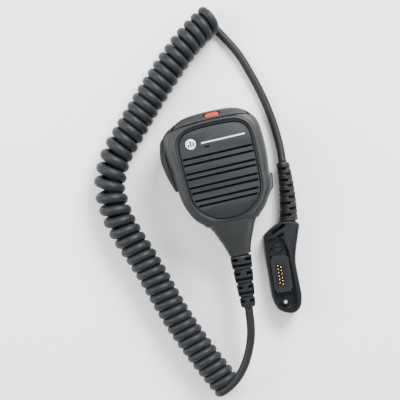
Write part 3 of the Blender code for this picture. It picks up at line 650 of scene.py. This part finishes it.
def make_cap():
    """The top cap: a hollow shell behind the seam, notched at both ends of it."""
    slope = [(0.0, SEAM_TOP), (0.0, 24.2), (0.015, 25.6), (0.05, 27.0), (0.10, 28.2), (0.17, 29.3),
             (0.25, 30.4), (0.34, 31.5), (0.44, 32.5), (0.54, 33.25), (0.62, 33.6), (0.68, 33.7)]
    cap = as_object("cap_shell", skin([raised(blend(BODY, PANEL, share), z)
                                       for share, z in slope]))
    hollow = [(0.0, 20), (0.0, 23.5), (0.12, 26.0), (0.3, 28.4), (0.5, 30.0)]
    carve(cap, [skin([raised(blend(INNER, PANEL, share), z) for share, z in hollow]), key_way(),
                emergency_shape(10.0, 4.7, -6.0, 6.0)])
    carve(cap, [cap_area(15, 45, 0.5)], "INTERSECT")
    for side in (-1, 1):
        carve(cap, [place(block((-0.35, -1.5, 25.5), (0.35, 1.5, 40)),
                          moved(side * 21.4, 25.6, 0, turn=side * 35))])
    fit_out(cap, "handset", "dark_shell", "top_cap")


def make_rear():
    """The rear housing: a shallow tray with its screw wells, swivel bore and jack."""
    rings = [raised(inset(BODY, 3.0), BACK_Z), raised(inset(BODY, 2.0), BACK_Z + 0.15),
             raised(inset(BODY, 1.1), BACK_Z + 0.7), raised(inset(BODY, 0.4), BACK_Z + 1.6),
             raised(inset(BODY, 0.05), BACK_Z + 3.0), raised(BODY, BACK_Z + 4.2),
             raised(BODY, SEAM_BOTTOM), raised(INNER, SEAM_BOTTOM),
             raised(inset(BODY, 2.6), BACK_Z + 2.4)]
    rear = as_object("rear_shell", skin(rings))
    holes = [rod((x, y, 0), (x, y, BACK_Z + 1.9), 2.5) for x, y in
             ((19.6, 20.4), (-19.6, 20.4), (16.5, -25.0), (-16.5, -25.0))]
    bore = rod((0, 0, 5), (0, 0, 14), 4.4, 48)
    jack = place(rod((-6, 0, 0), (6, 0, 0), 3.1), JACK)
    pocket = place(block((-0.15, -10.25, -4.65), (4.0, -0.05, 4.65)), JACK_HINGE)
    carve(rear, [key_way(), bore, jack, pocket] + holes)
    fit_out(rear, "handset", "dark_shell", "rear_housing")


def make_panel():
    """The panel: pairs of slots over the speaker, a microphone slot, and the badge's seat."""
    outline = inset(PANEL, 0.3)
    rings = [raised(outline, PANEL_Z - 2.3), raised(outline, PANEL_Z - 0.35),
             raised(inset(PANEL, 0.4), PANEL_Z - 0.1), raised(inset(PANEL, 0.65), PANEL_Z)]
    panel = as_object("grille", skin(rings))
    cutters = [block((-half, y - 0.64, 20), (half, y + 0.64, 40)) for y, half in SLOTS]
    cutters.append(block((-6.3, 10.8, 20), (-3.3, 11.6, 40)))
    cutters.append(rod((*BADGE_AT, PANEL_Z - 0.9), (*BADGE_AT, 40), 3.3, 48))
    carve(panel, cutters)
    soften(panel, 0.14)
    fit_out(panel, "handset", "panel_plastic", "grille_panel", sharp=22)


def make_badge():
    """A plain disc with three engraved bars, and a plain line beside it."""
    disc = [(0, 0.1), (2.75, 0.1), (2.95, 0.02), (3.0, -0.12), (3.0, -0.6), (0, -0.6)]
    badge = as_object("badge_disc", place(spun(disc, 64), BADGE))
    carve(badge, [place(block((x - 0.45, -1.5, -0.15), (x + 0.45, top, 1)), BADGE)
                  for x, top in ((-1.45, 0.0), (0.0, 1.7), (1.45, 0.8))])
    fit_out(badge, "handset", "badge_white", "name_badge")
    line = as_object("badge_line", block((-7.6, 13.3, PANEL_Z - 0.05), (17.6, 14.1, PANEL_Z + 0.08),
                                         0.06, 2))
    fit_out(line, "handset", "badge_white")


def make_neck():
    """The neck, from under the housing's rim to the strain relief."""
    sections = [Vector((-32.6, 14.2, 11.9, 21.0))] + smooth_points(NECK, 5)
    y, half_x, half_z, centre_z = NECK[-1]
    sections += [(y + step, half_x * share, half_z * share, centre_z)
                 for share, step in ((0.97, 0.08), (0.9, 0.0))]
    rings = [[(x, y, centre_z + z) for x, z in superellipse(half_x, half_z)]
             for y, half_x, half_z, centre_z in sections]
    neck = as_object("neck", skin(rings))
    carve(neck, [rod((0, -60, 17.2), (0, -30, 17.2), 2.9)])
    fit_out(neck, "handset", "dark_shell", "neck_shroud")


# Controls

def make_key():
    """The talk key: a rubber cover with ridges along its face, swelling in the middle."""
    top = KEY_HALF_HEIGHT
    count = 30
    sections = []
    for y, outer in smooth_points(KEY_OUTER, 26):
        depth = KEY_SEAT_X - outer
        ring = [(KEY_SEAT_X + 0.5, y, KEY_Z - 0.1 - top), (KEY_SEAT_X + 0.5, y, KEY_Z + 0.1 + top)]
        teeth = 0.42 * (0.5 + 0.5 * math.cos(2 * math.pi * y / 1.9))
        for i in range(count, -count - 1, -1):
            angle = math.pi / 2 * (1 - (1 - abs(i) / count) ** 2)
            share = max(math.cos(angle), 0.0) ** 0.5
            across = top * math.sin(angle) ** 0.75
            dip = max(max(0.0, 1 - abs(share - mark) / 0.075) for mark in (0.22, 0.46, 0.70))
            grip = teeth * max(0.0, 1 - across / 3.6) * min(1.0, depth / 3)
            across -= 0.5 * dip
            reach = depth * share - 0.15 * dip - grip
            ring.append((KEY_SEAT_X - max(reach, 0.05), y, KEY_Z + math.copysign(across, i)))
        sections.append(ring)
    key = as_object("talk_key", skin(sections))
    fit_out(key, "talk_key", "key_rubber", "ptt_key")


def make_emergency():
    """The orange button in the cap."""
    profile = [(0, -1.4), (0, -0.5), (0.12, -0.15), (0.35, 0.05), (0.75, 0.18), (1.3, 0.2)]
    rings = [raised(emergency_outline(8.3 - 2 * step, 4.2 - 2 * step), z) for step, z in profile]
    button = as_object("emergency_cap", place(skin(rings), EMERGENCY))
    fit_out(button, "emergency_key", "orange", "emergency_button")


def make_jack_cover():
    """The jack's rubber flap, with three ridges to pull it by."""
    outline = superellipse(4.85, 4.4, 4.5, 48)
    steps = [(0.25, 0.0), (0.0, 0.2), (0.0, 0.7), (0.35, 1.15), (0.9, 1.42), (1.7, 1.55)]
    rings = []
    for step, x in steps:
        shrink = 1 - step / 4.6
        rings.append([(x, -5.15 + point.x * shrink, point.y * shrink) for point in outline])
    cover = as_object("jack_flap", place(skin(rings), JACK_HINGE))
    grip = [place(block((1.2, -8.6 + 1.0 * i, -2.6), (1.8, -8.15 + 1.0 * i, 2.6), 0.18, 2),
                  JACK_HINGE) for i in range(3)]
    carve(cover, grip, "UNION")
    fit_out(cover, "jack_flap", "key_rubber", "jack_cover")


# Cord

def at_distance(points, run, distance):
    """The point and direction of a route at a distance along it."""
    low, high = 0, len(run) - 2
    while low < high:
        middle = (low + high + 1) // 2
        if run[middle] <= distance:
            low = middle
        else:
            high = middle - 1
    share = (distance - run[low]) / (run[low + 1] - run[low])
    here = points[low].lerp(points[low + 1], share)
    before = points[max(low - 3, 0)]
    after = points[min(low + 4, len(points) - 1)]
    return here, (after - before).normalized()


def curly_turns():
    """The helix: left-handed turns, stretched where the coil bends, the first leaning outwards."""
    points = smooth_points(COIL_ROUTE, 16)
    run = distances(points)
    pitches = [(0.0, 5.25), (0.12, 5.35), (0.30, 5.6), (0.38, 7.0), (0.46, 7.6), (0.54, 6.6),
               (0.64, 5.3), (0.8, 4.95), (1.0, 4.95)]

    total = run[-1]
    samples = 4000
    turns = sum(total / samples / graded(pitches, (i + 0.5) / samples) for i in range(samples))
    scale = (round(turns - 0.5) + 0.5) / turns
    radius = (COIL_DIAMETER - CORD_DIAMETER) / 2
    centre_z = COIL_DIAMETER / 2 + COIL_LIFT
    path = []
    phase = 0.0
    next_mark = 0.0
    for i in range(samples + 1):
        share = i / samples
        if phase >= next_mark - 1e-9:
            here, forward = at_distance(points, run, min(share * total, total - 1e-6))
            side = Vector((-forward.y, forward.x))
            angle = math.radians(-90.0) - 2 * math.pi * phase
            reach = radius * math.cos(angle)
            lean = END_LEAN * max(0.0, 1 - share / LEAN_SHARE) * (1 + math.sin(angle)) / 2
            path.append(Vector((here.x + side.x * reach - forward.x * lean,
                                here.y + side.y * reach - forward.y * lean,
                                centre_z + radius * math.sin(angle))))
            next_mark += 1 / TURN_POINTS
        phase += total / samples / graded(pitches, min(share + 0.5 / samples, 1.0)) * scale
    return path


def relaxed(points, spacing=2.0, rounds=12):
    """The points taken evenly along their line and eased towards each other's middles."""
    run = distances(points)
    count = max(2, round(run[-1] / spacing))
    even = []
    span = 0
    for i in range(count + 1):
        distance = run[-1] * i / count
        while span < len(run) - 2 and run[span + 1] < distance:
            span += 1
        share = (distance - run[span]) / (run[span + 1] - run[span])
        even.append(points[span].lerp(points[span + 1], share))
    for _ in range(rounds):
        middles = [(a + 2 * b + c) / 4 for a, b, c in zip(even, even[1:], even[2:])]
        even = [even[0]] + middles + [even[-1]]
    return even


def make_cord():
    """The whole cord as one curve, with the fuller turns of its coil between plain ends."""
    turns = list(reversed(curly_turns()))
    tail = relaxed(smooth_points(TAIL_ROUTE, 6) + turns[:4])[:-1]
    lead = relaxed(turns[-4:] + smooth_points(LEAD_ROUTE, 6))[1:]
    path = tail + turns[3:-3] + lead
    fullness = [1.0] * len(tail)
    last = len(turns) - 7
    grows = [(0.0, 0.08), (0.36, 0.08), (0.46, 0.20), (0.60, 0.28), (0.72, 0.19), (1.0, 0.16)]
    for i in range(last + 1):
        fullness.append(1.0 + graded(grows, i / last) * min(1.0, i / 30, (last - i) / 30))
    fullness += [1.0] * len(lead)
    curve = bpy.data.curves.new("cord", "CURVE")
    curve.dimensions = "3D"
    curve.bevel_depth = CORD_DIAMETER / 2 * MM
    curve.bevel_resolution = 5
    curve.use_fill_caps = True
    spline = curve.splines.new("POLY")
    spline.points.add(len(path) - 1)
    for spot, point, full in zip(spline.points, path, fullness):
        spot.co = (*(point * MM), 1.0)
        spot.radius = full
    spline.use_smooth = True
    curve.materials.append(LOOKS["cord_rubber"])
    cord = bpy.data.objects.new("cord", curve)
    bpy.context.scene.collection.objects.link(cord)
    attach(cord, "handset")
    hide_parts("cord_tail", "coil_cord", "cord_lead")
    return cord, path[0] * MM, distances(path)[-1] * MM


def taper(radii, share):
    return radii[0] + (radii[1] - radii[0]) * share


def relief_bar(start, end, radii, notches, depth, name, core=0.0):
    """A tapered flexible bar whose silhouette dips at each notch."""
    length = (Vector(end) - Vector(start)).length
    first, last = radii
    steps = 40
    marks = {length * i / steps for i in range(steps + 1)}
    marks.update(notch + away for notch in notches
                 for away in (-0.75, -0.45, -0.2, 0.0, 0.2, 0.45, 0.75))
    rings = []
    for height in sorted(mark for mark in marks if 0 <= mark <= length):
        radius = taper(radii, height / length)
        for notch in notches:
            away = abs(height - notch)
            if away < 0.7:
                radius -= depth * (1 - (away / 0.7) ** 2)
        rings.append((height, radius))
    profile = [(0, -1.3), (first - 1.3, -1.3), (first - 1.3, -0.1)]
    profile += [(radius - 0.35 if i == 0 else radius, height)
                for i, (height, radius) in enumerate(rings)]
    profile.append((last - 0.5, length + 0.25))
    if core:
        profile += [(last - 1.3, length + 0.25), (last - 1.3, length + core)]
    profile.append((0, profile[-1][1]))
    return as_object(name, place(spun(profile, 56), along(start, end)))


def make_strain_relief():
    """The handset's relief: four segments with windows, and slots between them."""
    segment = 8.0
    length = (Vector(RELIEF_END) - Vector(RELIEF_START)).length
    notches = [segment * i - 0.2 for i in range(1, 4)]
    relief = relief_bar(RELIEF_START, RELIEF_END, RELIEF_RADII, notches, 0.9, "cord_relief")
    bar = along(RELIEF_START, RELIEF_END)
    cutters = []
    for i in range(4):
        height = segment * i + 1.9
        radius = taper(RELIEF_RADII, height / length)
        for side in (-1, 1):
            for face in (-1, 1):
                near, far = sorted((side * radius * 0.30, side * radius * 0.84))
                low, high = sorted((face * 0.8, face * 8.0))
                cutters.append(place(block((near, low, height - 0.95), (far, high, height + 0.95),
                                           0.7, 4), bar))
        if i == 3:
            continue
        height = segment * i + 5.2
        radius = taper(RELIEF_RADII, height / length)
        for face in (-1, 1):
            low, high = sorted((face * radius * 0.2, face * 8.0))
            cutters.append(place(block((-radius * 0.93, low, height - 0.8),
                                       (radius * 0.93, high, height + 0.8), 0.6, 4), bar))
    carve(relief, cutters)
    return fit_out(relief, "handset", "cord_rubber", "strain_relief")


def make_plug_relief():
    """The plug's relief: slots from alternate sides, on a bar that bows to the right."""
    length = (Vector(PLUG_RELIEF_END) - Vector(PLUG_RELIEF_START)).length
    notches = [3.7 + 3.35 * i for i in range(9)]
    bar = relief_bar(PLUG_RELIEF_START, PLUG_RELIEF_END, PLUG_RELIEF_RADII, notches, 0.3,
                     "plug_cord_relief", 1.4)
    cutters = []
    for i, height in enumerate(notches):
        radius = taper(PLUG_RELIEF_RADII, height / length)
        for face in (-1, 1):
            low, high = sorted((face * radius * 0.25, face * 8.0))
            if i % 2:
                near, far = radius * 0.05, radius * 0.94
            else:
                near, far = -radius * 0.94, radius * 0.32
            cutters.append(place(block((near, low, height - 0.8), (far, high, height + 0.8),
                                       0.35, 2),
                                 along(PLUG_RELIEF_START, PLUG_RELIEF_END)))
    carve(bar, cutters)
    for vert in bar.data.vertices:
        share = (PLUG_RELIEF_START[1] * MM - vert.co.y) / (length * MM)
        vert.co.x += 3.6 * MM * max(0.0, share) * max(0.0, 1 - share)
    return fit_out(bar, "handset", "cord_rubber", "plug_relief")


# Plug

PLUG = moved(*PLUG_AT, turn=PLUG_TURN)
FACE_RECESS = [(-4.9, 19.8), (-5.3, 12.0), (-5.1, 0.0), (-4.9, -9.0), (-4.3, -14.0),
               (-2.6, -18.2), (0.2, -20.6), (3.4, -21.4), (5.6, -20.3), (7.3, -17.6),
               (7.9, -13.5), (7.8, -8.8), (7.4, -1.0), (7.2, 6.0), (6.6, 12.0), (5.6, 17.5),
               (4.4, 20.6), (1.6, 21.8), (-2.6, 21.4)]


def make_plug_shells():
    """The plug's two halves: the front one open round its contacts, the back one plain."""
    outline = list(reversed(smooth_points(PLUG_OUTLINE, 6, closed=True)))
    top = [(0.0, PLUG_SPLIT), (0.0, 10.6), (0.12, 11.6), (0.4, 12.4), (0.8, 12.85), (1.3, 13.0)]
    upper = as_object("plug_front", skin([raised(inset(outline, step), z) for step, z in top]))
    recess = smooth_points(FACE_RECESS, 4, closed=True)
    pocket = [(-4.2, -10.4), (-3.6, -14.5), (-1.4, -18.2), (1.5, -19.9), (4.6, -19.4),
              (6.5, -16.6), (6.9, -10.4)]
    x, y = SCREW_AT
    shapes = [
        skin([raised(recess, 10.9), raised(recess, 20)]),
        block((-4.5, -9.9, 4), (6.1, 11.5, 20)),
        skin([raised(pocket, 8.6), raised(pocket, 20)]),
        rod((x, y, 0), (x, y, 20), 1.6),
        rod((*ANTENNA_AT, 4), (*ANTENNA_AT, 20), 3.45, 48),
        block((-4.6, -8.0, 1.8), (7.6, 21.0, 8.0)),
        place(block((-4.6, -1.0, -4.0), (4.6, 1.0, 6.0), 0.8, 4), moved(2.5, 26.5, 12.6, turn=27)),
        place(block((-2.1, -0.8, -2.6), (2.1, 0.8, 6.0), 0.5, 3), moved(3.4, 22.7, 12.2, turn=20)),
        place(block((-0.5, -2.6, -2.4), (0.5, 2.6, 6.0), 0.3, 3), moved(5.9, 14.2, 12.2, turn=14)),
        place(block((-0.4, -1.8, -2.4), (0.4, 1.8, 6.0), 0.3, 3),
              moved(-3.6, 14.6, 12.2, turn=-24)),
    ]
    carve(upper, shapes)
    soften(upper, 0.18)
    upper.data.transform(PLUG)
    fit_out(upper, "handset", "plug_plastic", "plug_housing", sharp=22)

    low = [(1.8, 0.0), (1.0, 0.25), (0.4, 0.9), (0.1, 1.7), (0.0, 2.8), (0.0, 5.3)]
    lower = as_object("plug_back", skin([raised(inset(outline, step), z) for step, z in low]))
    carve(lower, [block((-4.6, -8.0, 1.8), (7.6, 21.0, 8.0))])
    carve(lower, [rod((x, y, -2), (x, y, 4.2), 5.0, 48)])
    carve(lower, [rod((x, y, 1), (x, y, 9), 1.6)])
    lower.data.transform(PLUG)
    fit_out(lower, "handset", "plug_plastic", "plug_cover", sharp=22)


def make_contacts():
    """The contact block with its two columns of sprung pins, and the round antenna contact."""
    outline = [(-4.2, -7.8), (-3.2, -9.6), (4.8, -9.6), (5.8, -7.8), (5.8, 9.4), (4.4, 11.2),
               (-2.8, 11.2), (-4.2, 9.4)]
    face = as_object("contact_face", skin([
        raised(outline, 6.2), raised(outline, 12.0), raised(inset(outline, 0.3), 12.3)]))
    ways = []
    number = 0
    for x, top in ((-0.85, 5.5), (0.85, 4.5)):
        for row in range(6):
            number += 1
            y = top - PIN_PITCH * row
            ways.append(spun([(0, 8.2), (0.72, 8.2), (0.72, 12.0), (1.0, 12.8), (0, 12.8)], 20))
            ways[-1].transform(moved(x, y, 0))
            tip = [(0, 13.2), (0.16, 13.17), (0.3, 13.08), (0.4, 12.92), (0.45, 12.7),
                   (0.45, 9.4), (0, 9.4)]
            pin = as_object(f"contact_tip_{number:02d}", place(spun(tip, 20), moved(x, y, 0)))
            pin.data.transform(PLUG)
            fit_out(pin, f"pin_{number:02d}", "gold", f"contact_pin_{number:02d}")
    carve(face, ways)
    face.data.transform(PLUG)
    fit_out(face, "handset", "contact_plastic", "contact_block")

    disc = [(0, 11.3), (2.35, 11.3), (2.45, 11.12), (2.6, 11.12), (2.7, 11.3), (3.05, 11.3),
            (3.2, 11.15), (3.2, 6.6), (0, 6.6)]
    antenna = as_object("antenna_socket", place(spun(disc, 56), moved(*ANTENNA_AT, 0)))
    x, y = ANTENNA_AT
    carve(antenna, [rod((x + away, y, 9.0), (x + away, y, 13.0), 0.48, 20)
                    for away in (-1.85, 0.0, 1.85)])
    antenna.data.transform(PLUG)
    fit_out(antenna, "handset", "contact_plastic", "antenna_contact", sharp=22)


def make_thumbscrew():
    """The thumbscrew: a thread and a fluted, slotted knob, with a ring round its tip."""
    seat = PLUG @ moved(*SCREW_AT, 0)
    profile = [(0, 12.6), (0.7, 12.6), (0.95, 12.4), (1.05, 12.15)]
    height = 12.0
    while height > 10.2:
        profile += [(1.25, height - 0.12), (1.05, height - 0.3)]
        height -= 0.36
    profile += [(1.25, 9.9), (1.25, 3.9), (4.2, 3.9), (4.5, 3.6), (4.5, 0.6), (4.2, 0.25),
                (3.6, 0.2), (0, 0.2)]
    screw = as_object("thumb_knob", spun(profile, 72))
    flutes = [place(rod((4.65, 0, -1), (4.65, 0, 5), 0.28, 12),
                    Matrix.Rotation(2 * math.pi * i / 20, 4, "Z")) for i in range(20)]
    carve(screw, flutes + [block((-3.4, -0.45, -1), (3.4, 0.45, 0.9))])
    screw.data.transform(seat)
    fit_out(screw, "plug_screw", "steel", "thumbscrew")

    profile = [(1.55, 9.55), (1.7, 9.7), (2.0, 9.7), (2.05, 9.6), (2.25, 9.6), (2.3, 9.7),
               (2.55, 9.7), (2.7, 9.55), (2.7, 8.9), (1.55, 8.9), (1.55, 9.55)]
    ring = as_object("thumb_ring", spun(profile, 64))
    ring.data.transform(seat)
    fit_out(ring, "plug_screw", "contact_plastic", "thumbscrew_ring")


# Clip

def make_clip():
    """The clip: a disc that swivels on the back, and an arm hinged to its two ears."""
    y, z = CLIP_HINGE
    outline = list(reversed(circle(13.0, 72)))
    steps = [(0.6, 6.6), (0.15, 6.8), (0.0, 7.2), (0.0, 8.1), (0.3, 8.55), (0.8, 8.7)]
    base = as_object("clip_disc", skin([raised(inset(outline, step), z) for step, z in steps]))
    parts = [rod((0, 0, 7.0), (0, 0, 11.4), 4.0, 48)]
    for side in (-1, 1):
        near, far = sorted((side * 5.6, side * 8.4))
        parts += [block((near, y - 1.6, z), (far, y + 1.6, 7.4)),
                  block((near, 4.0, 6.7), (far, y + 1.6, 8.6)),
                  rod((near, y, z), (far, y, z), 1.6)]
    carve(base, parts, "UNION")
    carve(base, [rod((-12, y, z), (12, y, z), 1.15), rod((0, 0, 7.6), (0, 0, 14), 1.4)])
    fit_out(base, "clip_swivel", "dark_shell", "clip_base")

    half = [(0, 19.5), (5.5, 19.5), (8.2, 18.3), (9.0, 15.5), (9.0, 8.0), (9.0, -19.0),
            (8.4, -25.5), (5.0, -30.2), (0, -31.2)]
    shape = mirrored(half)
    rings = [(0.5, 0.0), (0.12, 0.15), (0.0, 0.45), (0.0, 1.75), (0.15, 2.05), (0.5, 2.2)]
    jaw = as_object("clip_arm", skin([raised(inset(shape, step), z) for step, z in rings]))
    lip = skin([[(side, end, up) for side, up in ((-6.5, 1.0), (6.5, 1.0), (6.0, 8.6), (-6.0, 8.6))]
                for end in (-28.8, -26.4)])
    adds = [lip]
    for side in (-1, 1):
        near, far = sorted((side * 3.0, side * 5.3))
        adds += [block((near, y - 1.45, 1.5), (far, y + 1.45, z - 0.1)),
                 rod((near - 0.02, y, z), (far + 0.02, y, z), 1.6)]
    adds += [block((-6.0, 14.6 + 1.2 * i, 1.9), (6.0, 15.2 + 1.2 * i, 2.5), 0.15, 2)
             for i in range(4)]
    for extra in adds:
        carve(jaw, [extra], "UNION")
    carve(jaw, [rod((-12, y, z), (12, y, z), 1.15)])
    fit_out(jaw, "clip_grip", "dark_shell", "clip_jaw")


def dress_nodes():
    """Every CAD node that still shows takes its slot's finish."""
    slots = {row["node"]: row["material_slot"] for row in frame["record"]["subparts"]}
    for name, item in frame["nodes"].items():
        item.data.materials.clear()
        item.data.materials.append(LOOKS[slots[name]])


# Stage

def make_stage():
    bpy.ops.mesh.primitive_plane_add(size=3.0, location=(0, 0, -0.0002))
    floor = bpy.context.object
    floor.name = "floor"
    made, tree, shader, coords = new_material("pale_floor")
    soft = noise_node(tree, coords, 6.0, 2.0)
    tree.links.new(colour_mix(tree, soft, (0.90, 0.90, 0.90), (0.92, 0.92, 0.92)),
                   shader.inputs["Base Color"])
    shader.inputs["Roughness"].default_value = 0.9
    floor.data.materials.append(made)

    world = bpy.data.worlds.new("studio")
    world.use_nodes = True
    world.node_tree.nodes["Background"].inputs["Color"].default_value = (1, 1, 1, 1)
    world.node_tree.nodes["Background"].inputs["Strength"].default_value = 1.25
    bpy.context.scene.world = world
    for name, place_at, size, power in (
            ("key_light", (0.60, 0.70, 0.80), 0.6, 44.0),
            ("fill_light", (-0.75, 0.30, 0.60), 0.5, 10.0)):
        lamp = bpy.data.lights.new(name, "AREA")
        lamp.size = size
        lamp.energy = power
        item = bpy.data.objects.new(name, lamp)
        item.location = place_at
        item.rotation_euler = (-Vector(place_at)).to_track_quat("-Z", "Y").to_euler()
        bpy.context.scene.collection.objects.link(item)


def make_camera():
    camera = bpy.data.cameras.new("camera")
    camera.lens = 143.0
    camera.sensor_width = 36.0
    item = bpy.data.objects.new("camera", camera)
    item.location = (-0.0155, -0.0174, 0.93)
    item.rotation_euler = (0, 0, math.radians(-13.0))
    bpy.context.scene.collection.objects.link(item)
    bpy.context.scene.camera = item


make_camera()
cord, cord_exit, cord_length = make_cord()
make_stage()
dress_nodes()
for make in (make_front, make_cap, make_rear, make_panel, make_badge, make_neck, make_key,
             make_emergency, make_jack_cover):
    make()
relief = make_strain_relief()
plug_relief = make_plug_relief()
for make in (make_plug_shells, make_contacts, make_thumbscrew, make_clip):
    make()
